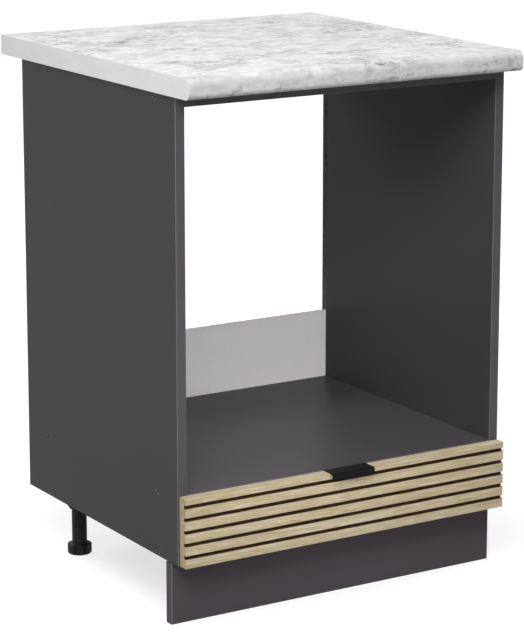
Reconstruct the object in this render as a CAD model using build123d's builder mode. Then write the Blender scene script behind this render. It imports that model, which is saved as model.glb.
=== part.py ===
from build123d import *
import math
import os

# Kitchen oven housing unit: a base cabinet with an open bay for an oven, a slatted
# drawer under the bay, a laminated worktop, a plinth and four levelling legs.
# Millimetres, +Z up, the front faces -Y. The origin is on the floor under the
# middle of the worktop.

os.makedirs("parts", exist_ok=True)

# Overall sizes
cabinet_width = 600
cabinet_depth = 500
carcass_height = 720
leg_height = 100
board = 16
fibreboard = 3.2
edge_band = 1
edge_band_round = 0.7

# Worktop
worktop_thickness = 32
worktop_side_overhang = 3
worktop_front_overhang = 45
worktop_back_overhang = 70
worktop_top_round = 12
worktop_bottom_round = 9
end_strip = 1
drip_groove_inset = 28
drip_groove_width = 4
drip_groove_depth = 2

# Back panel and its groove
back_panel_height = 232
groove_inset = 12
groove_width = 4
groove_depth = 8.5
groove_end_gap = 0.5

# Rails under the worktop
rail_depth = 100
rail_screw_inset = 100

# Plinth
plinth_setback = 21
plinth_top_gap = 1.5
plinth_round = 1

# Drawer front
front_reveal = 2
front_thickness = 18
front_height = 110
front_gap = 2
front_bottom_step = 1
front_round = 1
slat_height = 15
slat_groove_width = 5
slat_groove_depth = 5
slat_round = 0.8
smallest_top_slat = 8

# Handle: a folded strip hooked over the top edge of the front
handle_length = 78
handle_sheet = 1.2
handle_reach = 10
handle_lip = 10
handle_flange = 24
handle_bend = 1.4
handle_corner = 2
handle_screw_pitch = 48
handle_screw_drop = 15
handle_screw_length = 13

# Drawer box
runner_space = 12.5
drawer_side_height = 60
drawer_bottom_lift = 10
drawer_groove_depth = 6
drawer_groove_slack = 0.2
drawer_edge_chamfer = 1
length_step = 50
length_behind = 20
front_screw_insets = (38, 178)
front_screw_drop = 16
front_screw_length = 27

# Runners, folded sheet
runner_sheet = 1.2
runner_bend = 1.2
runner_lift = 4
runner_setback = 2
track_depth = 10.8
track_inside = 18.6
drawer_flange_inner = 3
drawer_lip = 11
drawer_lift = 3
roller_gap = 0.3
roller_side_gap = 0.4
cabinet_roller_radius = 9.5
drawer_roller_radius = 9
roller_inset = 14
roller_window = 26
roller_bevel = 1.5
rivet_radius = 2.5
rivet_head_radius = 4
rivet_head = 1
running_fit = 0.05
drawer_travel = 335
stop_drop = 2.5
stop_gap = 0.3
stop_inset = 3
drawer_rivet_head_gap = 0.7

# Fasteners
confirmat_length = 50
confirmat_head_radius = 4.8
confirmat_head = 3
confirmat_collar_radius = 3.45
confirmat_collar = 14
confirmat_thread_radius = 2.9
confirmat_sink = 1
confirmat_socket = 4
confirmat_socket_depth = 2.5
dowel_radius = 4
dowel_length = 30
dowel_in_side = 10
screw_radius = 1.75
screw_head_radius = 3.5
screw_head = 2
wafer_head = 0.4
recess_length = 3.2
recess_width = 0.9
recess_depth = 1.2
fit_gap = 0.05
ring_gap = 0.5
hole_end_gap = 0.5
front_fastener_inset = 62
back_fastener_inset = 73
dowel_step = 32
runner_screw_insets = (37, 261, 389)
runner_screw_length = 12
lip_screw_insets = (30, 220, 400)
lip_screw_length = 14
worktop_screw_length = 32
back_screw_length = 16
back_screw_side_inset = 56
cut_past = 1

# Legs
leg_side_inset = 26
back_leg_inset = 96
leg_tube_radius = 12.5
foot_height = 20
foot_radius = 20
foot_base_radius = 18
foot_bevel = 2
foot_grip_top = 16
foot_lobes = 8
foot_slot_width = 2.6
foot_slot_depth = 3
foot_turn = -4
foot_gap = 0.3
stem_radius = 6
stem_gap = 0.3
stem_top = 70
tube_bore_top = 84
socket_plate = 4
socket_plate_width = 58
socket_plate_round = 8
socket_cup_drop = 22
socket_wall = 3.5
socket_fit = 0.1
socket_rib = 2.4
socket_screw_offset_x = 21.5
socket_screw_offset_y = 16.5
leg_screw_length = 15

# Plinth clip
clip_reach = 33
clip_width = 40
clip_height = 34
clip_plate = 3
clip_ring_height = 24
clip_ring_wall = 3
clip_web = 6
clip_mouth = 100
clip_centre_z = 55
clip_screw_offset = 14
clip_screw_length = 13

# Bumper pads
bumper_radius = 4
bumper_gap = 0.3
bumper_rise = 95

# Worked-out places
half_width = cabinet_width / 2
inner_half = half_width - board
worktop_width = cabinet_width + 2 * worktop_side_overhang
worktop_depth = cabinet_depth + worktop_front_overhang + worktop_back_overhang
front_y = worktop_front_overhang - worktop_depth / 2
back_y = front_y + cabinet_depth
bottom_z = leg_height
top_z = leg_height + carcass_height
board_front_y = front_y + edge_band
groove_front_y = back_y - groove_inset
back_panel_top_z = bottom_z + back_panel_height

front_bottom_z = bottom_z + front_bottom_step
front_top_z = front_bottom_z + front_height
front_back_y = front_y - front_gap
front_face_y = front_back_y - front_thickness
front_half = half_width - front_reveal

bottom_top_z = bottom_z + board
shelf_top_z = front_top_z
shelf_bottom_z = shelf_top_z - board
rail_bottom_z = top_z - board

fastener_ys = (front_y + front_fastener_inset, back_y - back_fastener_inset)
dowel_ys = tuple(y - dowel_step for y in fastener_ys)
joint_zs = (bottom_z + board / 2, shelf_top_z - board / 2, top_z - board / 2)
rail_front_ys = (board_front_y, front_y + rail_depth)
rail_back_ys = (fastener_ys[1] - rail_depth / 2, fastener_ys[1] + rail_depth / 2)

runner_length = length_step * ((cabinet_depth - length_behind) // length_step)
drawer_half = inner_half - runner_space
drawer_inner_half = drawer_half - board
drawer_front_y = front_back_y
drawer_back_y = drawer_front_y + runner_length
track_bottom_z = bottom_top_z + runner_lift
track_top_z = track_bottom_z + track_inside + 2 * runner_sheet
drawer_bottom_z = track_bottom_z + drawer_lift
drawer_top_z = drawer_bottom_z + drawer_side_height
drawer_panel_z = drawer_bottom_z + drawer_bottom_lift
drawer_flange_z = track_top_z + roller_gap
cabinet_roller_z = drawer_flange_z - roller_gap - cabinet_roller_radius
drawer_roller_z = track_bottom_z + runner_sheet + roller_gap + drawer_roller_radius
cabinet_roller_y = front_y + runner_setback + roller_inset
drawer_roller_y = drawer_back_y - roller_inset

plinth_front_y = front_y + plinth_setback
plinth_back_y = plinth_front_y + board
plinth_height = leg_height - plinth_top_gap
leg_x = inner_half - leg_side_inset
front_leg_y = plinth_back_y + clip_reach
back_leg_y = back_y - back_leg_inset
leg_centres = {
    "front_left": (-leg_x, front_leg_y),
    "front_right": (leg_x, front_leg_y),
    "back_left": (-leg_x, back_leg_y),
    "back_right": (leg_x, back_leg_y),
}

LEFT = -1
RIGHT = 1
SIDES = {"left": LEFT, "right": RIGHT}
DOWN = (0, 0, -1)
FRONT = (0, -1, 0)
BACK = (0, 1, 0)


def save(piece, name):
    """Labels a finished piece and writes its file."""
    piece.label = name
    export_step(piece, f"parts/{name}.step")


def facing(points, direction):
    """Planes at the points, each looking along the direction."""
    return [Plane(origin=point, z_dir=direction) for point in points]


def block(x_range, y_range, z_range):
    """A square-edged board between its limits."""
    with BuildPart() as slab:
        with BuildSketch(Plane.XY.offset(z_range[0])):
            with Locations((sum(x_range) / 2, sum(y_range) / 2)):
                Rectangle(x_range[1] - x_range[0], y_range[1] - y_range[0])
        extrude(amount=z_range[1] - z_range[0])
    return slab.part


def turned(outline):
    """A solid of revolution about Z from its half outline, axis points included."""
    with BuildPart() as lathe:
        with BuildSketch(Plane.XZ):
            with BuildLine():
                Polyline(*outline, close=True)
            make_face()
        revolve(axis=Axis.Z)
    return lathe.part


def pan_screw(length, head=screw_head):
    """Flat-headed screw: its head stands on the seat at the origin, its shank goes down."""
    with BuildPart() as screw:
        add(
            turned(
                [
                    (0, head),
                    (screw_head_radius, head),
                    (screw_head_radius, 0),
                    (screw_radius, 0),
                    (screw_radius, -length),
                    (0, -length),
                ]
            )
        )
        with BuildSketch(Plane.XY.offset(head)):
            Rectangle(recess_length, recess_width)
            Rectangle(recess_width, recess_length)
        extrude(amount=-recess_depth, mode=Mode.SUBTRACT)
    return screw.part


def joint_points(side, ys, x):
    """Points on one side of the carcass where its boards are fastened."""
    return [(side * x, y, z) for y in ys for z in joint_zs]


# Worktop

def worktop_section():
    """Draws the worktop's section, Y across and Z up, in the open sketch."""
    with Locations((0, top_z + worktop_thickness / 2)):
        Rectangle(worktop_depth, worktop_thickness)
    fillet(vertices().group_by(Axis.X)[0].sort_by(Axis.Y)[-1], worktop_top_round)
    fillet(vertices().group_by(Axis.X)[0].sort_by(Axis.Y)[0], worktop_bottom_round)


rail_screw_x = inner_half - rail_screw_inset
rail_screw_points = [
    (side * rail_screw_x, y, rail_bottom_z)
    for side in (LEFT, RIGHT)
    for y in (sum(rail_front_ys) / 2, sum(rail_back_ys) / 2)
]
core_half = worktop_width / 2 - end_strip

with BuildPart() as worktop:
    with BuildSketch(Plane.YZ.offset(-core_half)):
        worktop_section()
        with Locations((drip_groove_inset - worktop_depth / 2, top_z)):
            Rectangle(drip_groove_width, 2 * drip_groove_depth, mode=Mode.SUBTRACT)
    extrude(amount=2 * core_half)
    with Locations(*facing([(x, y, top_z) for x, y, z in rail_screw_points], DOWN)):
        Hole(screw_radius + fit_gap, worktop_screw_length - board + hole_end_gap)
save(worktop.part, "worktop")

with BuildPart() as worktop_end_strip_right:
    with BuildSketch(Plane.YZ.offset(core_half)):
        worktop_section()
    extrude(amount=end_strip)
save(worktop_end_strip_right.part, "worktop_end_strip_right")

with BuildPart() as worktop_end_strip_left:
    with BuildSketch(Plane.YZ.offset(-core_half - end_strip)):
        worktop_section()
    extrude(amount=end_strip)
save(worktop_end_strip_left.part, "worktop_end_strip_left")

with BuildPart() as worktop_screws:
    with Locations(*facing(rail_screw_points, DOWN)):
        add(pan_screw(worktop_screw_length))
save(worktop_screws.part, "worktop_screws")


# Carcass boards

def side_panel(side):
    """One side board with its groove, joint holes and runner screw holes."""
    runner_points = [
        (side * inner_half, front_y + inset, drawer_roller_z)
        for inset in runner_screw_insets
        if inset < runner_length
    ]
    with BuildPart() as panel:
        add(
            block(
                sorted((side * inner_half, side * half_width)),
                (board_front_y, back_y),
                (bottom_z, top_z),
            )
        )
        add(
            block(
                sorted((side * (inner_half - cut_past), side * (inner_half + groove_depth))),
                (groove_front_y, groove_front_y + groove_width),
                (bottom_z - cut_past, top_z + cut_past),
            ),
            mode=Mode.SUBTRACT,
        )
        with Locations(*facing(joint_points(side, fastener_ys, half_width), (side, 0, 0))):
            CounterBoreHole(
                confirmat_collar_radius + fit_gap,
                confirmat_head_radius + ring_gap,
                confirmat_sink + confirmat_head,
                board,
            )
        with Locations(*facing(joint_points(side, dowel_ys, inner_half), (-side, 0, 0))):
            Hole(dowel_radius + fit_gap, dowel_in_side + hole_end_gap)
        with Locations(*facing(runner_points, (-side, 0, 0))):
            Hole(screw_radius + fit_gap, runner_screw_length)
    return panel.part


def front_edge(x_range, z_range, direction):
    """Edge band on a board's front edge, rounded along its two long outer edges."""
    with BuildPart() as band:
        add(block(x_range, (front_y, board_front_y), z_range))
        outer = band.faces().sort_by(Axis.Y)[0]
        fillet(outer.edges().filter_by(direction), edge_band_round)
    return band.part


def cross_board(y_range, z_range, ys):
    """A board between the two sides, with its end holes for screws and dowels."""
    middle_z = sum(z_range) / 2
    with BuildPart() as panel:
        add(block((-inner_half, inner_half), y_range, z_range))
        for side in (LEFT, RIGHT):
            with Locations(*facing([(side * inner_half, y, middle_z) for y in ys], (side, 0, 0))):
                Hole(
                    confirmat_thread_radius + fit_gap,
                    confirmat_length - board + confirmat_sink + hole_end_gap,
                )
            pegs = [(side * inner_half, y - dowel_step, middle_z) for y in ys]
            with Locations(*facing(pegs, (side, 0, 0))):
                Hole(dowel_radius + fit_gap, dowel_length - dowel_in_side + hole_end_gap)
    return panel.part


for word, side in SIDES.items():
    save(side_panel(side), f"side_{word}")
    edge_x = sorted((side * inner_half, side * half_width))
    save(front_edge(edge_x, (bottom_z, top_z), Axis.Z), f"side_{word}_edge_band")

deep_board_ys = (board_front_y, groove_front_y)
leg_screw_points = [
    (x + dx, y + dy, bottom_z - socket_plate)
    for x, y in leg_centres.values()
    for dx in (-socket_screw_offset_x, socket_screw_offset_x)
    for dy in (-socket_screw_offset_y, socket_screw_offset_y)
]
back_screw_x = inner_half - back_screw_side_inset
back_screw_points = [
    (x, groove_front_y + fibreboard, z)
    for x in (-back_screw_x, 0, back_screw_x)
    for z in joint_zs[:2]
]
back_hole_depth = back_screw_length - fibreboard + hole_end_gap


def back_edge_points(z):
    """Where the back panel's screws enter the back edge of a board."""
    return [(x, groove_front_y, z) for x, y, level in back_screw_points if level == z]


with BuildPart() as bottom_panel:
    add(cross_board(deep_board_ys, (bottom_z, bottom_top_z), fastener_ys))
    with Locations(*facing(back_edge_points(joint_zs[0]), BACK)):
        Hole(screw_radius + fit_gap, back_hole_depth)
    with Locations(*facing([(x, y, bottom_z) for x, y, z in leg_screw_points], DOWN)):
        Hole(screw_radius + fit_gap, leg_screw_length - socket_plate + hole_end_gap)
save(bottom_panel.part, "bottom_panel")

with BuildPart() as oven_shelf:
    add(cross_board(deep_board_ys, (shelf_bottom_z, shelf_top_z), fastener_ys))
    with Locations(*facing(back_edge_points(joint_zs[1]), BACK)):
        Hole(screw_radius + fit_gap, back_hole_depth)
save(oven_shelf.part, "oven_shelf")


def top_rail(y_range, y):
    """A rail under the worktop, drilled for the worktop's screws."""
    with BuildPart() as rail:
        add(cross_board(y_range, (rail_bottom_z, top_z), (y,)))
        points = [(side * rail_screw_x, sum(y_range) / 2, rail_bottom_z) for side in (LEFT, RIGHT)]
        with Locations(*facing(points, DOWN)):
            Hole(screw_radius + fit_gap, board)
    return rail.part


save(top_rail(rail_front_ys, fastener_ys[0]), "front_rail")
save(top_rail(rail_back_ys, fastener_ys[1]), "back_rail")

cross_x = (-inner_half, inner_half)
save(front_edge(cross_x, (bottom_z, bottom_top_z), Axis.X), "bottom_edge_band")
save(front_edge(cross_x, (shelf_bottom_z, shelf_top_z), Axis.X), "oven_shelf_edge_band")
save(front_edge(cross_x, (rail_bottom_z, top_z), Axis.X), "front_rail_edge_band")

back_panel_half = inner_half + groove_depth - groove_end_gap
with BuildPart() as back_panel:
    add(
        block(
            (-back_panel_half, back_panel_half),
            (groove_front_y, groove_front_y + fibreboard),
            (bottom_z, back_panel_top_z),
        )
    )
    with Locations(*facing(back_screw_points, BACK)):
        Hole(screw_radius + fit_gap, fibreboard)
save(back_panel.part, "back_panel")

with BuildPart() as back_panel_screws:
    with Locations(*facing(back_screw_points, BACK)):
        add(pan_screw(back_screw_length))
save(back_panel_screws.part, "back_panel_screws")

# The joint screw: its head's outer face is at the origin and its shank goes down
with BuildPart() as confirmat:
    add(
        turned(
            [
                (0, 0),
                (confirmat_head_radius, 0),
                (confirmat_head_radius, -confirmat_head),
                (confirmat_collar_radius, -confirmat_head),
                (confirmat_collar_radius, confirmat_sink - confirmat_collar),
                (confirmat_thread_radius, confirmat_sink - confirmat_collar),
                (confirmat_thread_radius, -confirmat_length),
                (0, -confirmat_length),
            ]
        )
    )
    with BuildSketch():
        RegularPolygon(confirmat_socket / 2, side_count=6, major_radius=False)
    extrude(amount=-confirmat_socket_depth, mode=Mode.SUBTRACT)

with BuildPart() as confirmat_screws:
    for side in (LEFT, RIGHT):
        heads = joint_points(side, fastener_ys, half_width - confirmat_sink)
        with Locations(*facing(heads, (side, 0, 0))):
            add(confirmat.part)
save(confirmat_screws.part, "confirmat_screws")

with BuildPart() as dowels:
    for side in (LEFT, RIGHT):
        ends = joint_points(side, dowel_ys, inner_half + dowel_in_side)
        with BuildSketch(*facing(ends, (side, 0, 0))):
            Circle(dowel_radius)
        extrude(amount=-dowel_length)
save(dowels.part, "dowels")


# Legs: a socket under the bottom panel, a tube in it, and a foot that screws into the tube

cup_radius = leg_tube_radius + socket_fit + socket_wall
cup_bottom_z = bottom_z - socket_cup_drop
tube_top_z = bottom_z - socket_plate - hole_end_gap


def leg_socket(x, y):
    """Moulded socket: a screwed plate, a cup for the tube and four ribs."""
    across_x = Plane(origin=(x, y, 0), x_dir=(1, 0, 0), z_dir=FRONT)
    across_y = Plane(origin=(x, y, 0), x_dir=(0, 1, 0), z_dir=(1, 0, 0))
    underside = Plane((x, y, bottom_z - socket_plate))
    with BuildPart() as socket:
        with BuildSketch(underside):
            RectangleRounded(socket_plate_width, socket_plate_width, socket_plate_round)
            with GridLocations(2 * socket_screw_offset_x, 2 * socket_screw_offset_y, 2, 2):
                Circle(screw_radius + fit_gap, mode=Mode.SUBTRACT)
        extrude(amount=socket_plate)
        with BuildSketch(underside):
            Circle(cup_radius)
        extrude(amount=socket_plate - socket_cup_drop)
        for rib_plane in (across_x, across_y):
            with BuildSketch(rib_plane):
                with BuildLine():
                    Polyline(
                        (-socket_plate_width / 2, bottom_z - socket_plate),
                        (socket_plate_width / 2, bottom_z - socket_plate),
                        (cup_radius - socket_fit, cup_bottom_z),
                        (socket_fit - cup_radius, cup_bottom_z),
                        close=True,
                    )
                make_face()
            extrude(amount=socket_rib / 2, both=True)
        with BuildSketch(Plane((x, y, cup_bottom_z))):
            Circle(leg_tube_radius + socket_fit)
        extrude(amount=socket_cup_drop - socket_plate, mode=Mode.SUBTRACT)
    return socket.part


def leg_tube(x, y):
    """Plastic tube, open below for the foot's stem and closed at the top."""
    with BuildPart() as tube:
        with BuildSketch(Plane((x, y, foot_height))):
            Circle(leg_tube_radius)
        extrude(amount=tube_top_z - foot_height)
        with BuildSketch(Plane((x, y, foot_height))):
            Circle(stem_radius + stem_gap)
        extrude(amount=tube_bore_top - foot_height, mode=Mode.SUBTRACT)
    return tube.part


def foot(x, y):
    """Levelling foot with a lobed grip and the stem that screws into the tube."""
    shoulder_z = foot_height - foot_gap
    turned_foot = turned(
        [
            (0, 0),
            (foot_base_radius, 0),
            (foot_radius, foot_bevel),
            (foot_radius, foot_grip_top),
            (leg_tube_radius + foot_gap, shoulder_z),
            (stem_radius, shoulder_z),
            (stem_radius, stem_top - stem_gap),
            (stem_radius - stem_gap, stem_top),
            (0, stem_top),
        ]
    )
    with BuildPart() as grip:
        add(turned_foot.moved(Location((x, y, 0))))
        with BuildSketch(Plane((x, y, 0))):
            with PolarLocations(foot_radius, foot_lobes, start_angle=foot_turn):
                Rectangle(2 * foot_slot_depth, foot_slot_width)
        extrude(amount=foot_height, mode=Mode.SUBTRACT)
    return grip.part


for word, (x, y) in leg_centres.items():
    save(leg_socket(x, y), f"leg_socket_{word}")
    save(leg_tube(x, y), f"leg_tube_{word}")
    save(foot(x, y), f"foot_{word}")

with BuildPart() as leg_screws:
    with Locations(*facing(leg_screw_points, DOWN)):
        add(pan_screw(leg_screw_length))
save(leg_screws.part, "leg_screws")


# Plinth and the clips that snap it on the front legs

clip_screw_points = [
    (side * leg_x + step, plinth_back_y, clip_centre_z)
    for side in (LEFT, RIGHT)
    for step in (-clip_screw_offset, clip_screw_offset)
]

with BuildPart() as plinth:
    add(block((-half_width, half_width), (plinth_front_y, plinth_back_y), (0, plinth_height)))
    fillet(plinth.faces().sort_by(Axis.Y)[0].edges(), plinth_round)
    with Locations(*facing(clip_screw_points, BACK)):
        Hole(screw_radius + fit_gap, clip_screw_length - clip_plate + hole_end_gap)
save(plinth.part, "plinth")


def plinth_clip(x):
    """Clip: a plate on the back of the plinth and an open ring round the leg tube."""
    ring_inner = leg_tube_radius + socket_fit
    ring_outer = ring_inner + clip_ring_wall
    mouth = math.radians(clip_mouth / 2)
    reach = 2 * ring_outer
    with BuildPart() as clip:
        with BuildSketch(Plane.XZ.offset(-plinth_back_y)):
            with Locations((x, clip_centre_z)):
                RectangleRounded(clip_width, clip_height, clip_ring_wall)
                with GridLocations(2 * clip_screw_offset, 0, 2, 1):
                    Circle(screw_radius + fit_gap, mode=Mode.SUBTRACT)
        extrude(amount=-clip_plate)
        with BuildSketch(Plane((x, front_leg_y, clip_centre_z - clip_ring_height / 2))):
            Circle(ring_outer)
            with Locations((0, -clip_reach / 2)):
                Rectangle(clip_web, clip_reach)
            Circle(ring_inner, mode=Mode.SUBTRACT)
            with BuildLine():
                Polyline(
                    (0, 0),
                    (reach * math.sin(mouth), reach * math.cos(mouth)),
                    (-reach * math.sin(mouth), reach * math.cos(mouth)),
                    close=True,
                )
            make_face(mode=Mode.SUBTRACT)
        extrude(amount=clip_ring_height)
    return clip.part


for word, side in SIDES.items():
    save(plinth_clip(side * leg_x), f"plinth_clip_{word}")

clip_heads = [(x, y + clip_plate, z) for x, y, z in clip_screw_points]
with BuildPart() as plinth_clip_screws:
    with Locations(*facing(clip_heads, BACK)):
        add(pan_screw(clip_screw_length))
save(plinth_clip_screws.part, "plinth_clip_screws")


# Drawer front: a board with horizontal grooves that leave a row of slats

slat_pitch = slat_height + slat_groove_width
groove_space = front_height - smallest_top_slat - slat_height - slat_groove_width
groove_count = int(groove_space // slat_pitch) + 1
groove_zs = [
    front_bottom_z + slat_height + slat_groove_width / 2 + number * slat_pitch
    for number in range(groove_count)
]
handle_screw_z = front_top_z - handle_screw_drop
handle_screw_points = [
    (side * handle_screw_pitch / 2, front_back_y, handle_screw_z) for side in (LEFT, RIGHT)
]
front_screw_points = [
    (side * (drawer_inner_half - inset), drawer_front_y + board, drawer_top_z - front_screw_drop)
    for side in (LEFT, RIGHT)
    for inset in front_screw_insets
]

with BuildPart() as drawer_front:
    with BuildSketch(Plane.YZ.offset(-front_half)):
        with Locations((front_face_y + front_thickness / 2, front_bottom_z + front_height / 2)):
            Rectangle(front_thickness, front_height)
        fillet(vertices(), front_round)
        with Locations(*[(front_face_y, z) for z in groove_zs]):
            Rectangle(2 * slat_groove_depth, slat_groove_width, mode=Mode.SUBTRACT)
        lips = vertices().group_by(Axis.X)[0].sort_by(Axis.Y)[1:-1]
        fillet(lips, slat_round)
    extrude(amount=2 * front_half)
    with Locations(*facing(handle_screw_points, BACK)):
        Hole(screw_radius + fit_gap, handle_screw_length - handle_sheet + hole_end_gap)
    with Locations(*facing([(x, front_back_y, z) for x, y, z in front_screw_points], BACK)):
        Hole(screw_radius + fit_gap, front_screw_length - board + hole_end_gap)
save(drawer_front.part, "drawer_front")

# The handle's folded section runs up the back of the front, over its top and down again
flange_middle_y = front_back_y + handle_sheet / 2
plate_middle_z = front_top_z + handle_sheet / 2
lip_middle_y = front_face_y - handle_reach + handle_sheet / 2
lip_bottom_z = front_top_z + handle_sheet - handle_lip

with BuildPart() as handle:
    with BuildSketch(Plane.YZ.offset(-handle_length / 2)):
        with BuildLine() as fold:
            FilletPolyline(
                (flange_middle_y, plate_middle_z - handle_flange),
                (flange_middle_y, plate_middle_z),
                (lip_middle_y, plate_middle_z),
                (lip_middle_y, lip_bottom_z),
                radius=handle_bend,
            )
        trace(fold.line, line_width=handle_sheet)
    extrude(amount=handle_length)
    lip_corners = handle.edges().filter_by(Axis.Y).group_by(Axis.Y)[0].group_by(Axis.Z)[0]
    fillet(lip_corners, handle_corner)
    flange_corners = handle.edges().filter_by(Axis.Y).group_by(Axis.Z)[0]
    fillet(flange_corners, handle_corner)
    with Locations(*facing([(x, y + handle_sheet, z) for x, y, z in handle_screw_points], BACK)):
        Hole(screw_radius + fit_gap, 2 * handle_sheet)
save(handle.part, "handle")

with BuildPart() as handle_screws:
    with Locations(*facing([(x, y + handle_sheet, z) for x, y, z in handle_screw_points], BACK)):
        add(pan_screw(handle_screw_length, wafer_head))
save(handle_screws.part, "handle_screws")

with BuildPart() as bumper_pads:
    pad_x = half_width - board / 2
    pad_z = front_bottom_z + bumper_rise
    pads = [(side * pad_x, front_back_y, pad_z) for side in (LEFT, RIGHT)]
    with BuildSketch(*facing(pads, BACK)):
        Circle(bumper_radius)
    extrude(amount=front_gap - bumper_gap)
save(bumper_pads.part, "bumper_pads")


# Drawer box: sides, inner front and back with a groove for the thin bottom

panel_slot = (drawer_panel_z, drawer_panel_z + fibreboard + drawer_groove_slack)
box_screw_zs = (drawer_bottom_z + drawer_side_height / 2, drawer_top_z - board / 2)
box_end_ys = (drawer_front_y + board / 2, drawer_back_y - board / 2)
box_screw_points = {
    side: [(side * drawer_half, y, z) for y in box_end_ys for z in box_screw_zs]
    for side in (LEFT, RIGHT)
}
lip_screw_x = drawer_half - board / 2
lip_screw_ys = [drawer_front_y + inset for inset in lip_screw_insets if inset < runner_length - board]


def drawer_side(side):
    """A side of the drawer box, grooved inside and drilled for its screws."""
    slot_x = sorted(
        (side * (drawer_inner_half - cut_past), side * (drawer_inner_half + drawer_groove_depth))
    )
    with BuildPart() as panel:
        add(
            block(
                sorted((side * drawer_inner_half, side * drawer_half)),
                (drawer_front_y, drawer_back_y),
                (drawer_bottom_z, drawer_top_z),
            )
        )
        low_edges = panel.edges().filter_by(Axis.Y).group_by(Axis.Z)[0].sort_by(Axis.X)
        chamfer(low_edges[-1] if side == RIGHT else low_edges[0], drawer_edge_chamfer)
        slot_start = drawer_front_y + board - drawer_groove_depth
        slot_end = drawer_back_y - board + drawer_groove_depth
        add(block(slot_x, (slot_start, slot_end), panel_slot), mode=Mode.SUBTRACT)
        with Locations(*facing(box_screw_points[side], (side, 0, 0))):
            CounterBoreHole(
                confirmat_collar_radius + fit_gap,
                confirmat_head_radius + ring_gap,
                confirmat_sink + confirmat_head,
                board,
            )
        undersides = [(side * lip_screw_x, y, drawer_bottom_z) for y in lip_screw_ys]
        with Locations(*facing(undersides, DOWN)):
            Hole(screw_radius + fit_gap, lip_screw_length)
    return panel.part


def drawer_cross_board(y_range, slot_y_range, outside_y):
    """Front or back of the drawer box, between its sides."""
    with BuildPart() as panel:
        add(
            block(
                (-drawer_inner_half, drawer_inner_half),
                y_range,
                (drawer_bottom_z, drawer_top_z),
            )
        )
        add(
            block((-half_width, half_width), slot_y_range, panel_slot),
            mode=Mode.SUBTRACT,
        )
        for side in (LEFT, RIGHT):
            ends = [(side * drawer_inner_half, outside_y, z) for z in box_screw_zs]
            with Locations(*facing(ends, (side, 0, 0))):
                Hole(
                    confirmat_thread_radius + fit_gap,
                    confirmat_length - board + confirmat_sink + hole_end_gap,
                )
    return panel.part


for word, side in SIDES.items():
    save(drawer_side(side), f"drawer_side_{word}")

box_front_inner_y = drawer_front_y + board
box_back_inner_y = drawer_back_y - board
front_slot_ys = (box_front_inner_y - drawer_groove_depth, box_front_inner_y + cut_past)
back_slot_ys = (box_back_inner_y - cut_past, box_back_inner_y + drawer_groove_depth)

with BuildPart() as drawer_box_front:
    add(drawer_cross_board((drawer_front_y, box_front_inner_y), front_slot_ys, box_end_ys[0]))
    with Locations(*facing(front_screw_points, BACK)):
        Hole(screw_radius + fit_gap, board)
save(drawer_box_front.part, "drawer_box_front")

with BuildPart() as drawer_back:
    add(drawer_cross_board((box_back_inner_y, drawer_back_y), back_slot_ys, box_end_ys[1]))
save(drawer_back.part, "drawer_back")

panel_reach = drawer_groove_depth - groove_end_gap
drawer_bottom = block(
    (-drawer_inner_half - panel_reach, drawer_inner_half + panel_reach),
    (box_front_inner_y - panel_reach, box_back_inner_y + panel_reach),
    (drawer_panel_z, drawer_panel_z + fibreboard),
)
save(drawer_bottom, "drawer_bottom")

with BuildPart() as drawer_box_screws:
    for side in (LEFT, RIGHT):
        heads = [(x - side * confirmat_sink, y, z) for x, y, z in box_screw_points[side]]
        with Locations(*facing(heads, (side, 0, 0))):
            add(confirmat.part)
save(drawer_box_screws.part, "drawer_box_screws")

with BuildPart() as drawer_front_screws:
    with Locations(*facing(front_screw_points, BACK)):
        add(pan_screw(front_screw_length))
save(drawer_front_screws.part, "drawer_front_screws")


# Runners: folded tracks on the cabinet, folded angles under the drawer, four rollers

def across(side, distance):
    """X of a point that is this far inward from the inner face of a side."""
    return side * (inner_half - distance)


stop_bottom_z = track_top_z - runner_sheet - stop_drop
stop_rise = stop_bottom_z - drawer_roller_z
stop_reach = math.sqrt(drawer_roller_radius**2 - stop_rise**2)
stop_y = drawer_roller_y - drawer_travel - stop_gap - stop_reach


def cabinet_runner(side):
    """Track on the cabinet's side, open towards the drawer, cut away for its roller.

    A tab pressed down out of its top flange stops the drawer's roller.
    """
    web = runner_sheet / 2
    start_y = front_y + runner_setback
    tab_x = sorted((across(side, stop_inset), across(side, track_depth - stop_inset)))
    slot_end = stop_y + stop_drop + runner_sheet
    with BuildPart() as runner:
        with BuildSketch(Plane.XZ.offset(-start_y)):
            with BuildLine() as fold:
                FilletPolyline(
                    (across(side, track_depth), track_bottom_z + web),
                    (across(side, web), track_bottom_z + web),
                    (across(side, web), track_top_z - web),
                    (across(side, track_depth), track_top_z - web),
                    radius=runner_bend,
                )
            trace(fold.line, line_width=runner_sheet)
        extrude(amount=-runner_length)
        window = sorted((across(side, runner_sheet), across(side, runner_space)))
        add(
            block(
                window,
                (start_y - cut_past, start_y + roller_window),
                (cabinet_roller_z, shelf_bottom_z),
            ),
            mode=Mode.SUBTRACT,
        )
        add(
            block(tab_x, (stop_y, slot_end), (stop_bottom_z, track_top_z + cut_past)),
            mode=Mode.SUBTRACT,
        )
        add(block(tab_x, (stop_y - runner_sheet, stop_y), (stop_bottom_z, track_top_z - web)))
        with Locations(Plane((across(side, 0), cabinet_roller_y, cabinet_roller_z), z_dir=(-side, 0, 0))):
            Hole(rivet_radius + fit_gap, 2 * runner_sheet)
        points = [(across(side, runner_sheet), y, drawer_roller_z) for y in runner_screw_ys]
        with Locations(*facing(points, (-side, 0, 0))):
            Hole(screw_radius + fit_gap, 2 * runner_sheet)
    return runner.part


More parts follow.
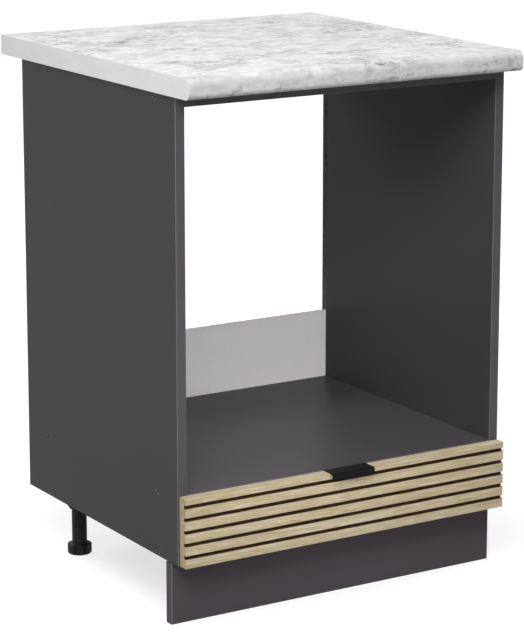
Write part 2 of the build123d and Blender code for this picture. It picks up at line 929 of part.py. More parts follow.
def drawer_runner(side):
    """Angle under the drawer's side with a flange that rides on the cabinet's roller."""
    web = runner_space - runner_sheet / 2
    lip_z = drawer_bottom_z - runner_sheet / 2
    flange_z = drawer_flange_z + runner_sheet / 2
    with BuildPart() as runner:
        with BuildSketch(Plane.XZ.offset(-drawer_front_y)):
            with BuildLine() as fold:
                FilletPolyline(
                    (across(side, runner_space + drawer_lip), lip_z),
                    (across(side, web), lip_z),
                    (across(side, web), flange_z),
                    (across(side, drawer_flange_inner), flange_z),
                    radius=runner_bend,
                )
            trace(fold.line, line_width=runner_sheet)
        extrude(amount=-runner_length)
        axle = Plane((across(side, runner_space), drawer_roller_y, drawer_roller_z), z_dir=(-side, 0, 0))
        with Locations(axle):
            Hole(rivet_radius + fit_gap, 2 * runner_sheet)
        lip_points = [(side * lip_screw_x, y, drawer_bottom_z - runner_sheet) for y in lip_screw_ys]
        with Locations(*facing(lip_points, DOWN)):
            Hole(screw_radius + fit_gap, 2 * runner_sheet)
    return runner.part


def roller(radius, width, x, y, z):
    """Plastic roller with bevelled rims, lying along X."""
    with BuildPart() as wheel:
        with BuildSketch(Plane.XY):
            with BuildLine():
                Polyline(
                    (-width / 2, rivet_radius + running_fit),
                    (width / 2, rivet_radius + running_fit),
                    (width / 2, radius - roller_bevel),
                    (width / 2 - roller_bevel, radius),
                    (roller_bevel - width / 2, radius),
                    (-width / 2, radius - roller_bevel),
                    close=True,
                )
            make_face()
        revolve(axis=Axis.X)
    return wheel.part.moved(Location((x, y, z)))


runner_screw_ys = [front_y + inset for inset in runner_screw_insets if inset < runner_length]
drawer_rivet_start = runner_sheet + drawer_rivet_head_gap
cabinet_roller_range = (runner_sheet + roller_side_gap, track_depth - rivet_head - 2 * roller_side_gap)
drawer_roller_range = (
    drawer_rivet_start + rivet_head + roller_side_gap,
    runner_space - runner_sheet - roller_side_gap,
)

for word, side in SIDES.items():
    save(cabinet_runner(side), f"cabinet_runner_{word}")
    save(drawer_runner(side), f"drawer_runner_{word}")
    save(
        roller(
            cabinet_roller_radius,
            cabinet_roller_range[1] - cabinet_roller_range[0],
            across(side, sum(cabinet_roller_range) / 2),
            cabinet_roller_y,
            cabinet_roller_z,
        ),
        f"cabinet_roller_{word}",
    )
    save(
        roller(
            drawer_roller_radius,
            drawer_roller_range[1] - drawer_roller_range[0],
            across(side, sum(drawer_roller_range) / 2),
            drawer_roller_y,
            drawer_roller_z,
        ),
        f"drawer_roller_{word}",
    )


def rivet(length):
    """Axle rivet: its head's outer face is at the origin, its shank goes down."""
    return turned(
        [
            (0, 0),
            (rivet_head_radius, 0),
            (rivet_head_radius, -rivet_head),
            (rivet_radius, -rivet_head),
            (rivet_radius, -length),
            (0, -length),
        ]
    )


cabinet_rivet_end = cabinet_roller_range[1] + roller_side_gap + rivet_head
with BuildPart() as cabinet_roller_rivets:
    for side in (LEFT, RIGHT):
        head = (across(side, cabinet_rivet_end), cabinet_roller_y, cabinet_roller_z)
        with Locations(Plane(head, z_dir=(-side, 0, 0))):
            add(rivet(cabinet_rivet_end))
save(cabinet_roller_rivets.part, "cabinet_roller_rivets")

with BuildPart() as drawer_roller_rivets:
    for side in (LEFT, RIGHT):
        head = (across(side, drawer_rivet_start), drawer_roller_y, drawer_roller_z)
        with Locations(Plane(head, z_dir=(side, 0, 0))):
            add(rivet(runner_space - drawer_rivet_start))
save(drawer_roller_rivets.part, "drawer_roller_rivets")

with BuildPart() as cabinet_runner_screws:
    for side in (LEFT, RIGHT):
        points = [(across(side, runner_sheet), y, drawer_roller_z) for y in runner_screw_ys]
        with Locations(*facing(points, (-side, 0, 0))):
            add(pan_screw(runner_screw_length, wafer_head))
save(cabinet_runner_screws.part, "cabinet_runner_screws")

with BuildPart() as drawer_runner_screws:
    for side in (LEFT, RIGHT):
        points = [(side * lip_screw_x, y, drawer_bottom_z - runner_sheet) for y in lip_screw_ys]
        with Locations(*facing(points, DOWN)):
            add(pan_screw(lip_screw_length, wafer_head))
save(drawer_runner_screws.part, "drawer_runner_screws")
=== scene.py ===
import math

import bpy
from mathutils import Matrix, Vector


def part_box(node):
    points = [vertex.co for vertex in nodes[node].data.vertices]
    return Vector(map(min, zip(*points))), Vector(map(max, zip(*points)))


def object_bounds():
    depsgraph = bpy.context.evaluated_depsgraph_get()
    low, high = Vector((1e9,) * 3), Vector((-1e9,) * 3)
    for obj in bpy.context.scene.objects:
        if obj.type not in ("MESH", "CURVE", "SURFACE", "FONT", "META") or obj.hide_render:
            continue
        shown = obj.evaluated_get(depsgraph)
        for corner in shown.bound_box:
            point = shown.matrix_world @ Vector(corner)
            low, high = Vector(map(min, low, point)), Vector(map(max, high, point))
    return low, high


# Looks for the oven housing unit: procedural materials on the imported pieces, a pale
# floor, soft studio light and a camera at the photograph's viewing angle.
# Everything is in metres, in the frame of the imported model.

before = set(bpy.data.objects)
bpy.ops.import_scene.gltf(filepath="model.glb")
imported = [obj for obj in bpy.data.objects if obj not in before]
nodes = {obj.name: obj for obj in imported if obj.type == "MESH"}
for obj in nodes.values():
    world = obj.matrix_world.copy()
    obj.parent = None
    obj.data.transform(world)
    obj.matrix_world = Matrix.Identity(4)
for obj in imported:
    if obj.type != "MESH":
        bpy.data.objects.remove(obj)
cad_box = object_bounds()

MM = 0.001
X, Y, Z = range(3)
WHITE = (1.0, 1.0, 1.0, 1.0)

# A face counts as lying across an axis where its normal is longer along it than this.
SQUARE_ON = 0.5

# The mix node has its own sockets for each kind of value: first, second and result.
MIX_SOCKETS = {"VECTOR": (4, 5, 1), "RGBA": (6, 7, 2)}


def srgb(red, green, blue):
    """A colour given as it looks on a screen, 0 to 255, in the shader's own units."""
    def linear(value):
        share = value / 255
        return share / 12.92 if share <= 0.04045 else ((share + 0.055) / 1.055) ** 2.4
    return (linear(red), linear(green), linear(blue), 1.0)


def scaled(tone, factor):
    """The same colour, lighter above a factor of 1 and darker below it."""
    return tuple(min(1.0, part * factor) for part in tone[:3]) + (1.0,)


class Graph:
    """A node tree, with short calls for the nodes that it is made of."""

    def __init__(self, tree):
        self.tree = tree

    def node(self, kind, settings=(), **inputs):
        """A new node; an input is a value or another node's output."""
        made = self.tree.nodes.new(kind)
        for name, value in dict(settings).items():
            setattr(made, name, value)
        for name, value in inputs.items():
            self.feed(made.inputs[name.replace("_", " ")], value)
        return made

    def feed(self, socket, value):
        """Sets an input, or links it where the value is another node's output."""
        if isinstance(value, bpy.types.NodeSocket):
            self.tree.links.new(value, socket)
        else:
            socket.default_value = value

    def feed_all(self, sockets, *values):
        """Feeds the first inputs in their order."""
        for socket, value in zip(sockets, values):
            self.feed(socket, value)

    def math(self, operation, *values):
        """The result of one operation on values or outputs."""
        made = self.node("ShaderNodeMath", {"operation": operation})
        self.feed_all(made.inputs, *values)
        return made.outputs[0]

    def seen_directly(self):
        """1 for camera, glossy and transmitted rays, which should see a white studio."""
        paths = self.node("ShaderNodeLightPath").outputs
        shown = self.math("MAXIMUM", paths["Is Camera Ray"], paths["Is Glossy Ray"])
        return self.math("MAXIMUM", shown, paths["Is Transmission Ray"])

    def choose(self, factor, first, second):
        """The first shader where the factor is 0, and the second where it is 1."""
        made = self.node("ShaderNodeMixShader")
        self.feed_all(made.inputs, factor, first, second)
        return made.outputs[0]


class Finish(Graph):
    """One procedural material."""

    def __init__(self, name, roughness, metallic=0.0, specular=0.5):
        self.material = bpy.data.materials.new(name)
        self.material.use_nodes = True
        super().__init__(self.material.node_tree)
        self.shader = self.tree.nodes["Principled BSDF"]
        self.shader.inputs["Roughness"].default_value = roughness
        self.shader.inputs["Metallic"].default_value = metallic
        self.shader.inputs["Specular IOR Level"].default_value = specular
        places = self.node("ShaderNodeTexCoord").outputs
        self.place = places["Object"]
        self.axes = self.node("ShaderNodeSeparateXYZ", Vector=self.place).outputs
        self.normal = self.node("ShaderNodeSeparateXYZ", Vector=places["Normal"]).outputs

    def mix(self, factor, first, second, blend="MIX", kind="RGBA"):
        """The first value where the factor is 0, and the second where it is 1."""
        made = self.node("ShaderNodeMix", {"data_type": kind, "blend_type": blend})
        first_socket, second_socket, result = MIX_SOCKETS[kind]
        self.feed(made.inputs[0], factor)
        self.feed(made.inputs[first_socket], first)
        self.feed(made.inputs[second_socket], second)
        return made.outputs[result]

    def span(self, value, low, high, start=0.0, end=1.0, shape="SMOOTHSTEP"):
        """value from low to high becomes start to end, and is held beyond them."""
        made = self.node("ShaderNodeMapRange", {"interpolation_type": shape})
        self.feed_all(made.inputs, value, low, high, start, end)
        return made.outputs[0]

    def stretched(self, stretch, place=None):
        """The place on the piece, drawn out along an axis where stretch is below 1."""
        made = self.node("ShaderNodeMapping", Vector=place or self.place, Scale=stretch)
        return made.outputs[0]

    def noise(self, size, stretch=(1, 1, 1), detail=3.0, rough=0.5, bend=0.0, place=None):
        """Cloudy values with lumps of that size in metres."""
        return self.node(
            "ShaderNodeTexNoise",
            Vector=self.stretched(stretch, place),
            Scale=1 / size,
            Detail=detail,
            Roughness=rough,
            Distortion=bend,
        ).outputs[0]

    def warped(self, scale, reach):
        """The place on the piece, pushed about by soft noise so that patterns wander."""
        push = self.node("ShaderNodeTexNoise", Vector=self.place, Scale=scale, Detail=3.0)
        bent = self.node("ShaderNodeVectorMath", {"operation": "MULTIPLY_ADD"})
        self.feed_all(bent.inputs, push.outputs["Color"], reach, self.place)
        return bent.outputs[0]

    def cells(self, size, stretch):
        """Cells of that size in metres, each with a colour of its own."""
        made = self.node("ShaderNodeTexVoronoi", Vector=self.stretched(stretch), Scale=1 / size)
        return made.outputs["Color"]

    def shades(self, value, *stops):
        """Colours at given values, blended between them."""
        made = self.node("ShaderNodeValToRGB", Fac=value)
        ramp = made.color_ramp.elements
        while len(ramp) < len(stops):
            ramp.new(0.5)
        for element, (position, colour) in zip(ramp, stops):
            element.position = position
            element.color = colour
        return made.outputs[0]

    def bump(self, height, depth):
        """The surface's normal, with relief of that depth in metres."""
        return self.node("ShaderNodeBump", Height=height, Distance=depth, Strength=1.0).outputs[0]

    def above(self, value, limit):
        """1 where the value is more than the limit."""
        return self.math("GREATER_THAN", value, limit)

    def below(self, value, limit):
        """1 where the value is less than the limit."""
        return self.math("LESS_THAN", value, limit)

    def both(self, *masks):
        """1 where every mask is 1."""
        found = masks[0]
        for mask in masks[1:]:
            found = self.math("MULTIPLY", found, mask)
        return found

    def other(self, mask):
        """1 where the mask is 0."""
        return self.math("SUBTRACT", 1.0, mask)

    def facing(self, axis):
        """1 on faces across that axis."""
        return self.above(self.math("ABSOLUTE", self.normal[axis]), SQUARE_ON)

    def milled(self):
        """1 on the rounded corners between square faces, and on bored walls."""
        sizes = [self.math("ABSOLUTE", part) for part in self.normal]
        squarest = self.math("MAXIMUM", self.math("MAXIMUM", sizes[X], sizes[Y]), sizes[Z])
        return self.span(squarest, 0.9, 0.985, 1.0, 0.0)

    def finish(self, colour, normal=None, roughness=None):
        """Feeds the shader and gives back the material."""
        self.feed(self.shader.inputs["Base Color"], colour)
        if normal is not None:
            self.feed(self.shader.inputs["Normal"], normal)
        if roughness is not None:
            self.feed(self.shader.inputs["Roughness"], roughness)
        return self.material


# The milled corners of the grey edges are a little paler than their faces: partly the whitening of
# milled plastic, partly a painted highlight on the rounded corner.
CORNER_WHITENING_AND_HIGHLIGHT = srgb(134, 131, 134)

# Chipboard, as it shows on a sawn edge or in a groove: pressed flakes with dark gaps,
# drawn out in the board's plane.
FLAKE = 2.4 * MM
FLAKE_STRETCH = 0.45
CHIP_PALE = srgb(166, 150, 130)
CHIP_MIDDLE = srgb(138, 121, 101)
CHIP_DARK = srgb(92, 78, 64)

# A printed sheet counts as this thick where it is told from the board under it.
SHEET = 0.6 * MM

# A mask reaches this far past the surface that it is for.
MARGIN = 0.5 * MM


def chipboard(look, axis):
    """The inside of a board whose faces lie across that axis."""
    stretch = [FLAKE_STRETCH] * 3
    stretch[axis] = 1.0
    flakes = look.node("ShaderNodeSeparateColor", Color=look.cells(FLAKE, stretch)).outputs[0]
    tone = look.shades(flakes, (0.0, CHIP_DARK), (0.3, CHIP_MIDDLE), (1.0, CHIP_PALE))
    dust = look.noise(0.8 * MM, stretch, detail=4.0)
    return look.mix(0.35, tone, look.shades(dust, (0.3, CHIP_DARK), (0.7, CHIP_PALE)))


def printed(look, tone):
    """A plain printed sheet: its colour, and the fine grain that lifts its surface."""
    broad = look.noise(350 * MM, detail=2.0)
    fine = look.noise(1.1 * MM, detail=2.0, rough=0.6)
    shade = look.mix(look.span(broad, 0.3, 0.7), tone, scaled(tone, 1.07))
    return look.mix(look.span(fine, 0.62, 0.72, 0.0, 0.16), shade, scaled(tone, 1.35)), fine


def edged_board(name, tone, specular):
    """A board with the sheet on its edges too; its milled corners are a little paler, partly
    whitened and partly a painted highlight.
    """
    look = Finish(name, 0.45, specular=specular)
    colour, fine = printed(look, tone)
    # Painted highlight, with some whitening, on the milled corners.
    colour = look.mix(look.milled(), colour, CORNER_WHITENING_AND_HIGHLIGHT)
    return look.finish(colour, look.bump(fine, 0.05 * MM), look.span(fine, 0.3, 0.7, 0.36, 0.48))


def faced_board(name, tone, axis, specular, thickness_range=None, wrapped=False):
    """Chipboard with a thin printed sheet on its two faces across the axis.

    thickness_range is the distance of its two faces from the middle of the unit, for a
    board with grooves. A wrapped board has the sheet carried over its top edge as well.
    """
    look = Finish(name, 0.45, specular=specular)
    colour, fine = printed(look, tone)
    covered = look.facing(axis)
    if thickness_range is not None:
        # A groove's floor lies across the axis too, but inside the board.
        inner, outer = thickness_range
        depth = look.math("ABSOLUTE", look.axes[axis])
        inside = look.both(look.above(depth, inner + SHEET), look.below(depth, outer - SHEET))
        covered = look.both(covered, look.other(inside))
    if wrapped:
        covered = look.math("MAXIMUM", covered, look.above(look.normal[Z], SQUARE_ON))
    # Painted shade: a bored wall lies in shade behind the head that fills the hole, so it takes
    # the board's grey instead of chipboard.
    chips_and_painted_shade = look.mix(look.milled(), chipboard(look, axis), tone)
    grit = look.bump(look.noise(0.9 * MM, detail=4.0, rough=0.7), 0.25 * MM)
    normal = look.mix(covered, grit, look.bump(fine, 0.05 * MM), kind="VECTOR")
    rough = look.math("ADD", 0.42, look.math("MULTIPLY", 0.45, look.other(covered)))
    return look.finish(look.mix(covered, chips_and_painted_shade, colour), normal, rough)


def marble(name, back, front, under, turn):
    """White marble print with grey clouds and broken dark veins, wrapped over the front.

    The print ends on the underside, at a distance of turn behind the front edge.
    """
    look = Finish(name, 0.55, specular=0.2)
    pale = srgb(236, 233, 236)
    white = srgb(223, 220, 223)
    cloud = srgb(196, 193, 196)
    grey = srgb(158, 155, 159)
    vein = srgb(92, 90, 95)
    lining_dark = srgb(196, 190, 180)
    lining_pale = srgb(208, 203, 194)
    along = (0.6, 1.0, 1.0)
    flow = look.warped(7.0, (0.05, 0.05, 0.05))
    clouds = look.noise(26 * MM, along, detail=4.0, rough=0.55, place=flow)
    colour = look.shades(clouds, (0.33, cloud), (0.5, white), (0.66, pale))
    mottle = look.noise(9 * MM, along, detail=4.0, rough=0.5, place=flow)
    colour = look.mix(look.span(mottle, 0.48, 0.68, 0.0, 0.6), colour, cloud)
    colour = look.mix(look.span(mottle, 0.46, 0.32, 0.0, 0.6), colour, pale)
    where = look.span(look.noise(85 * MM, along, detail=2.0, place=flow), 0.49, 0.6)
    blots = look.noise(13 * MM, along, detail=2.0, rough=0.4, place=flow)
    colour = look.mix(look.both(look.span(blots, 0.55, 0.68, 0.0, 0.7), where), colour, grey)
    broken = look.span(mottle, 0.42, 0.56)
    # Over the rounded front the print is stretched, with softer flecks; it is also greyer there,
    # partly the print's cloudier look and partly painted shade.
    bent = look.math("ABSOLUTE", look.normal[Y])
    crisp = look.span(bent, 0.4, 0.9, 1.0, 0.55)
    # Partly painted shade: the front-facing band is blended towards the cloud grey.
    colour = look.mix(look.span(bent, 0.4, 0.9, 0.0, 0.4), colour, cloud)
    for size, width, region, strength, tone in (
        (110 * MM, 0.012, broken, 0.5, grey),
        (24 * MM, 0.022, look.both(broken, where), 0.85, vein),
    ):
        wander = look.noise(size, along, detail=3.0, rough=0.5, bend=0.6, place=flow)
        ridge = look.math("ABSOLUTE", look.math("SUBTRACT", wander, 0.5))
        line = look.both(look.span(ridge, 0.0, width, strength, 0.0), region, crisp)
        colour = look.mix(line, colour, tone)
    spots = look.noise(8 * MM, (0.5, 1.0, 1.0), detail=3.0, place=flow)
    flecks = look.both(look.span(spots, 0.57, 0.71, 0.0, 0.75), crisp, where)
    colour = look.mix(flecks, colour, vein)
    sawn = look.both(look.facing(Y), look.above(look.axes[Y], back - MARGIN))
    colour = look.mix(sawn, colour, chipboard(look, Z))
    paper = look.noise(20 * MM, detail=5.0)
    lining = look.shades(paper, (0.3, lining_dark), (0.7, lining_pale))
    underside = look.both(
        look.below(look.normal[Z], -SQUARE_ON),
        look.below(look.axes[Z], under + 2.5 * MM),
        look.above(look.axes[Y], front + turn),
    )
    colour = look.mix(underside, colour, lining)
    grain = look.noise(0.9 * MM, detail=3.0, rough=0.6)
    rough = look.span(grain, 0.3, 0.7, 0.55, 0.67)
    return look.finish(colour, look.bump(grain, 0.03 * MM), rough)


def end_strip(name):
    """Plain pale strip on the worktop's sawn ends, a little cloudy."""
    look = Finish(name, 0.55, specular=0.2)
    clouds = look.noise(50 * MM, (1, 0.4, 1), detail=6.0, rough=0.62)
    colour = look.shades(clouds, (0.35, srgb(232, 229, 232)), (0.6, srgb(238, 235, 238)))
    grain = look.noise(0.9 * MM, detail=3.0)
    return look.finish(colour, look.bump(grain, 0.03 * MM))


def edge_strip(name, tone):
    """Plastic edge strip; the milled corner is a little paler than its face, partly whitened and
    partly a painted highlight.
    """
    look = Finish(name, 0.42, specular=0.2)
    fine = look.noise(1.3 * MM, (1, 1, 0.5), detail=2.0)
    shade = look.mix(look.span(fine, 0.35, 0.65, 0.0, 0.3), tone, scaled(tone, 1.15))
    # Painted highlight, with some whitening, on the milled corner.
    return look.finish(look.mix(look.milled(), shade, CORNER_WHITENING_AND_HIGHLIGHT), look.bump(fine, 0.03 * MM))


def oak(name, front, groove_depth, low, high):
    """Pale oak print with the grain along the front, and dark stained grooves."""
    look = Finish(name, 0.5, specular=0.2)
    pale = srgb(207, 194, 171)
    middle = srgb(196, 183, 152)
    warm = srgb(186, 171, 136)
    rosy = srgb(198, 176, 153)
    green = srgb(182, 172, 120)
    dark_line = srgb(172, 152, 112)
    light_line = srgb(230, 219, 198)
    pore_tone = srgb(160, 141, 104)
    painted_end_shade = srgb(236, 229, 220)
    stain = srgb(58, 37, 13)
    flow = look.warped(5.0, (0.0, 0.02, 0.03))
    figure = look.noise(12 * MM, (0.045, 1, 1), detail=4.0, rough=0.55, place=flow)
    colour = look.shades(figure, (0.3, warm), (0.5, middle), (0.72, pale))
    patch = look.noise(11 * MM, (0.16, 1, 1), detail=3.0, place=flow)
    colour = look.mix(look.span(patch, 0.5, 0.68, 0.0, 0.6), colour, rosy)
    drift = look.warped(2.0, (0.1, 0.0, 0.0))
    patch = look.noise(9 * MM, (0.2, 1, 1), detail=3.0, place=drift)
    colour = look.mix(look.span(patch, 0.54, 0.7, 0.0, 0.55), colour, green)
    streak = look.noise(2.2 * MM, (0.035, 1, 1), detail=3.0, rough=0.6, place=flow)
    colour = look.mix(look.span(streak, 0.5, 0.7, 0.0, 0.75), colour, dark_line)
    colour = look.mix(look.span(streak, 0.46, 0.3, 0.0, 0.6), colour, light_line)
    pores = look.noise(0.45 * MM, (0.03, 1, 1), detail=2.0, place=flow)
    pore = look.span(pores, 0.6, 0.7, 0.0, 0.5)
    colour = look.mix(pore, colour, pore_tone)
    # Painted shade: the ends of the front, across X, are darkened and warmed by a multiplied tone.
    ends_painted_shade = look.mix(1.0, colour, painted_end_shade, blend="MULTIPLY")
    colour = look.mix(look.facing(X), colour, ends_painted_shade)
    # A groove lies behind the front face and no deeper than its own floor. The board's
    # back, ends, top and bottom are left out.
    groove = look.both(
        look.below(look.normal[Y], SQUARE_ON),
        look.below(look.math("ABSOLUTE", look.normal[X]), SQUARE_ON),
        look.above(look.axes[Y], front + 0.2 * MM),
        look.below(look.axes[Y], front + groove_depth + MARGIN),
        look.above(look.axes[Z], low + 2 * MM),
        look.below(look.axes[Z], high - 2 * MM),
    )
    colour = look.mix(groove, colour, stain)
    height = look.math("SUBTRACT", streak, pore)
    rough = look.math("ADD", 0.5, look.math("MULTIPLY", groove, 0.25))
    return look.finish(colour, look.bump(height, 0.08 * MM), rough)


def fibreboard(name, axis, way):
    """Thin hardboard, brown but for the pale lacquer on one face.

    The lacquered face looks along the axis, or against it where way is -1.
    """
    look = Finish(name, 0.45)
    fine = look.noise(1.5 * MM, detail=3.0)
    lacquer = look.mix(look.span(fine, 0.3, 0.7), srgb(236, 232, 235), srgb(241, 237, 240))
    fibre = look.noise(2.2 * MM, (0.5, 1, 0.8), detail=6.0, rough=0.7, bend=1.0)
    brown = look.shades(
        fibre,
        (0.3, srgb(112, 86, 62)),
        (0.5, srgb(136, 109, 82)),
        (0.75, srgb(156, 131, 102)),
    )
    front = look.above(look.math("MULTIPLY", look.normal[axis], way), SQUARE_ON)
    relief = look.math("ADD", 0.03, look.math("MULTIPLY", 0.12, look.other(front)))
    normal = look.bump(look.math("MULTIPLY", fibre, relief), 1.0 * MM)
    rough = look.math("SUBTRACT", 0.85, look.math("MULTIPLY", 0.4, front))
    return look.finish(look.mix(front, brown, lacquer), normal, rough)


def moulded(name, tone, roughness, grain, depth, specular=0.5):
    """Moulded plastic with a fine spark-eroded surface and slight flow marks."""
    look = Finish(name, roughness, specular=specular)
    fine = look.noise(grain, detail=2.0, rough=0.6)
    flow = look.noise(30 * MM, (1, 1, 0.4), detail=3.0, bend=0.5)
    shade = look.mix(look.span(flow, 0.3, 0.7), tone, scaled(tone, 1.2))
    rough = look.span(flow, 0.3, 0.7, roughness - 0.05, roughness + 0.08)
    return look.finish(shade, look.bump(fine, depth), rough)


def powder_coat(name, tone, roughness=0.42, specular=0.5):
    """Baked coat on sheet metal, with its orange-peel surface."""
    look = Finish(name, roughness, specular=specular)
    peel = look.noise(1.4 * MM, detail=1.0)
    fine = look.noise(0.35 * MM, detail=2.0)
    shade = look.mix(look.span(fine, 0.35, 0.65, 0.0, 0.5), tone, scaled(tone, 1.3))
    height = look.math("ADD", peel, look.math("MULTIPLY", fine, 0.4))
    return look.finish(shade, look.bump(height, 0.05 * MM))


def plated(name, tone):
    """Zinc plate with a patchy sheen."""
    look = Finish(name, 0.32, metallic=1.0)
    patch = look.noise(4 * MM, detail=4.0)
    fine = look.noise(0.25 * MM, detail=2.0)
    shade = look.mix(look.span(patch, 0.3, 0.7), tone, scaled(tone, 0.82))
    rough = look.span(patch, 0.3, 0.7, 0.25, 0.45)
    return look.finish(shade, look.bump(fine, 0.02 * MM), rough)


def dowel_wood(name):
    """Beech with its grain along the dowel."""
    look = Finish(name, 0.6)
    streak = look.noise(1.2 * MM, (0.08, 1, 1), detail=4.0)
    colour = look.shades(streak, (0.3, srgb(182, 143, 100)), (0.7, srgb(208, 172, 126)))
    return look.finish(colour, look.bump(streak, 0.15 * MM))


def clear_pad(name):
    """Clear soft pad, clouded a little by its own surface."""
    look = Finish(name, 0.25)
    look.shader.inputs["Transmission Weight"].default_value = 0.55
    look.shader.inputs["IOR"].default_value = 1.45
    cloud = look.noise(1.5 * MM, detail=3.0)
    colour = look.shades(cloud, (0.3, srgb(214, 218, 220)), (0.7, srgb(232, 235, 236)))
    return look.finish(colour, look.bump(cloud, 0.05 * MM))


side_low, side_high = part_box("side_right")
front_low, front_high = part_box("drawer_front")
top_low, top_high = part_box("worktop")

# The sides, the flat boards and the plinth are one grey laminate; the flat boards and the plinth
# take lighter copies of its tone, painted light.
GREY_UPRIGHT = srgb(64, 61, 64)
GREY_FLAT_PAINTED_LIGHTER = srgb(71, 68, 71)
GREY_PLINTH_PAINTED_LIGHTER = srgb(79, 75, 80)
GREY_STRIP = srgb(78, 75, 79)
DRAWER_WHITE = srgb(219, 219, 217)

# How strongly the printed sheets shine: little, and a touch more where they lie flat.
SHINE = 0.06
SHINE_FLAT = 0.08

# The grooves between the slats, and how far under the worktop its print is carried.
GROOVE_DEPTH = 5 * MM
PRINT_TURN = 18 * MM

grey_upright = faced_board(
    "grey_laminate_upright", GREY_UPRIGHT, X, SHINE, thickness_range=(side_low.x, side_high.x)
)
grey_flat_painted_lighter = faced_board("grey_laminate_flat_painted_lighter", GREY_FLAT_PAINTED_LIGHTER, Z, SHINE_FLAT)
drawer_sides = faced_board("drawer_board_side", DRAWER_WHITE, X, SHINE, wrapped=True)
drawer_ends = faced_board("drawer_board_end", DRAWER_WHITE, Y, SHINE, wrapped=True)
strip = edge_strip("grey_edge_strip", GREY_STRIP)
end_finish = end_strip("worktop_end_strip")
black_plastic = moulded("black_plastic", srgb(24, 22, 24), 0.5, 0.6 * MM, 0.04 * MM, specular=0.16)
white_plastic = moulded("white_nylon", srgb(224, 224, 218), 0.35, 0.4 * MM, 0.02 * MM)
white_steel = powder_coat("white_coated_steel", srgb(228, 228, 225))
zinc = plated("zinc_plate", srgb(122, 123, 127))

finishes = {
    "worktop": marble("marble_laminate", top_high.y, top_low.y, top_low.z, PRINT_TURN),
    "back_panel": fibreboard("fibreboard_upright", Y, -1),
    "drawer_bottom": fibreboard("fibreboard_flat", Z, 1),
    "bumper_pads": clear_pad("clear_rubber"),
    "dowels": dowel_wood("beech"),
    "drawer_front": oak("pale_oak", front_low.y, GROOVE_DEPTH, front_low.z, front_high.z),
    "handle": powder_coat("black_coated_metal", srgb(10, 8, 10), 0.5, 0.11),
    # The confirmat heads take a darker copy of the zinc plate: painted shade of the counterbores
    # that they sit in.
    "confirmat_screws": plated("zinc_plate_painted_shade", srgb(88, 88, 92)),
    "plinth": edged_board("grey_laminate_plinth_painted_lighter", GREY_PLINTH_PAINTED_LIGHTER, SHINE),
}
for side in ("left", "right"):
    finishes[f"side_{side}"] = grey_upright
    finishes[f"worktop_end_strip_{side}"] = end_finish
    finishes[f"drawer_side_{side}"] = drawer_sides
for name in ("drawer_box_front", "drawer_back"):
    finishes[name] = drawer_ends
for name in ("bottom_panel", "oven_shelf", "front_rail", "back_rail"):
    finishes[name] = grey_flat_painted_lighter


def finish_for(name):
    """The material of a node, from the list above or from the kind of piece it names."""
    if name in finishes:
        return finishes[name]
    if name.endswith("_edge_band"):
        return strip
    if name.endswith(("_screws", "_rivets")):
        return zinc
    if "_runner_" in name:
        return white_steel
    if "_roller_" in name:
        return white_plastic
    return black_plastic


for name, piece in nodes.items():
    piece.data.materials.clear()
    piece.data.materials.append(finish_for(name))

# Floor: pale and matte. The camera, glossy and transmitted rays see it white where
# nothing shades it, and the object's own shadow stays on it. Its glow for them grows
# with the distance from the object.
FLOOR_SIZE = 30
FLOOR_TONE = (0.4, 0.4, 0.4, 1.0)
GLOW_NEAR, GLOW_FAR = 0.5, 3.0
GLOW_LOW, GLOW_HIGH = 0.7, 0.95

bpy.ops.mesh.primitive_plane_add(size=FLOOR_SIZE)
floor = bpy.context.object
floor.name = "floor"
paint = Finish("floor_paint", 0.9, specular=0.1)
distance = paint.node("ShaderNodeVectorMath", {"operation": "LENGTH"}, Vector=paint.place)
glow = paint.span(
    distance.outputs["Value"], GLOW_NEAR, GLOW_FAR, GLOW_LOW, GLOW_HIGH, shape="LINEAR"
)
paint.feed(paint.shader.inputs["Emission Color"], WHITE)
paint.feed(
    paint.shader.inputs["Emission Strength"],
    paint.math("MULTIPLY", paint.seen_directly(), glow),
)
# The floor is clear from below, so that the underside can be looked at.
from_below = paint.node("ShaderNodeNewGeometry").outputs["Backfacing"]
clear = paint.node("ShaderNodeBsdfTransparent").outputs[0]
surface = paint.choose(from_below, paint.shader.outputs[0], clear)
paint.feed(paint.tree.nodes["Material Output"].inputs["Surface"], surface)
floor.data.materials.append(paint.finish(FLOOR_TONE))

# World: soft even light, and plain white where it is seen.
SOFT_STRENGTH = 0.15
SEEN_STRENGTH = 1.0

world = bpy.data.worlds.new("studio")
bpy.context.scene.world = world
world.use_nodes = True
sky = Graph(world.node_tree)
sky.tree.nodes.clear()
soft = sky.node("ShaderNodeBackground", Color=WHITE, Strength=SOFT_STRENGTH).outputs[0]
seen = sky.node("ShaderNodeBackground", Color=WHITE, Strength=SEEN_STRENGTH).outputs[0]
sky.node("ShaderNodeOutputWorld", Surface=sky.choose(sky.seen_directly(), soft, seen))


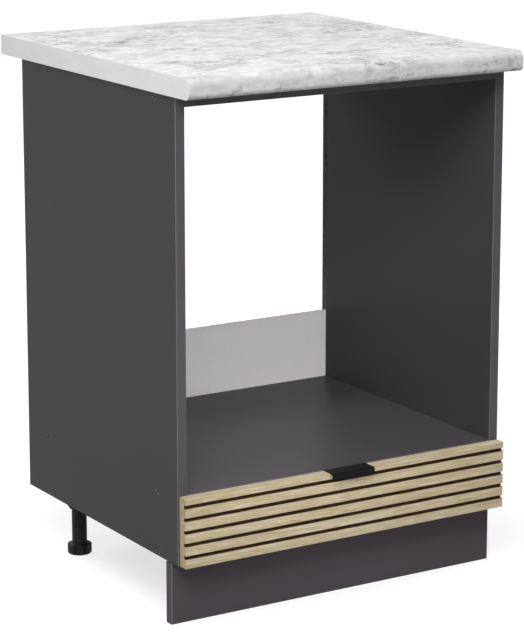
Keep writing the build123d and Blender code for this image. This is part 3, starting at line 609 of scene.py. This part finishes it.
def lamp(name, place, aim, size, power, spread=180):
    """A soft rectangular lamp; a spread below 180 degrees keeps its light to a beam."""
    light = bpy.data.lights.new(name, "AREA")
    light.spread = math.radians(spread)
    light.shape = "RECTANGLE"
    light.size, light.size_y = size
    light.energy = power
    lamp_object = bpy.data.objects.new(name, light)
    lamp_object.location = place
    lamp_object.rotation_euler = (Vector(aim) - Vector(place)).to_track_quat("-Z", "Y").to_euler()
    bpy.context.scene.collection.objects.link(lamp_object)


# Lamps: where each stands, where it points, its width and height, and its watts.
middle = (cad_box[0] + cad_box[1]) / 2
lamp("side_light", (-1.9, -1.4, 2.3), middle, (1.3, 1.3), 33)
lamp("right_light", (3.2, 0.6, 1.4), middle, (1.8, 1.8), 50)
lamp("top_light", (-0.3, -0.2, 4.0), middle, (2.2, 2.2), 17)
lamp("front_light", (-1.3, -2.5, 2.8), (0, 0.1, 0.4), (1.8, 1.4), 64)
lamp("back_light", (-1.0, 2.8, 2.4), (0.1, 0.0, 0.4), (1.4, 1.0), 42)
lamp("bay_light", (-0.9, -3.0, 1.0), (0.12, 0.3, 0.2), (0.5, 0.3), 0.45, spread=20)

# Camera: found by matching the corners of the unit in the photograph. The picture is
# 524 x 638 pixels, so its long side sets the sensor. The frame sits a tenth of that
# side lower than the lens's axis.
CAMERA_PLACE = (-2.1388, -3.4839, 1.3728)
CAMERA_PITCH = 12.011
CAMERA_YAW = 31.685
FOCAL_PIXELS = 2560.1
LONG_SIDE_PIXELS = 638
SENSOR = 36.0
FRAME_SHIFT = -0.1
CLIP_END = 50

camera = bpy.data.cameras.new("camera")
camera.sensor_width = SENSOR
camera.lens = FOCAL_PIXELS * SENSOR / LONG_SIDE_PIXELS
camera.shift_y = FRAME_SHIFT
camera.clip_end = CLIP_END
camera_object = bpy.data.objects.new("camera", camera)
camera_object.location = CAMERA_PLACE
camera_object.rotation_euler = (math.radians(90 - CAMERA_PITCH), 0, math.radians(-CAMERA_YAW))
bpy.context.scene.collection.objects.link(camera_object)
bpy.context.scene.camera = camera_object
bpy.context.scene.view_settings.view_transform = "Standard"
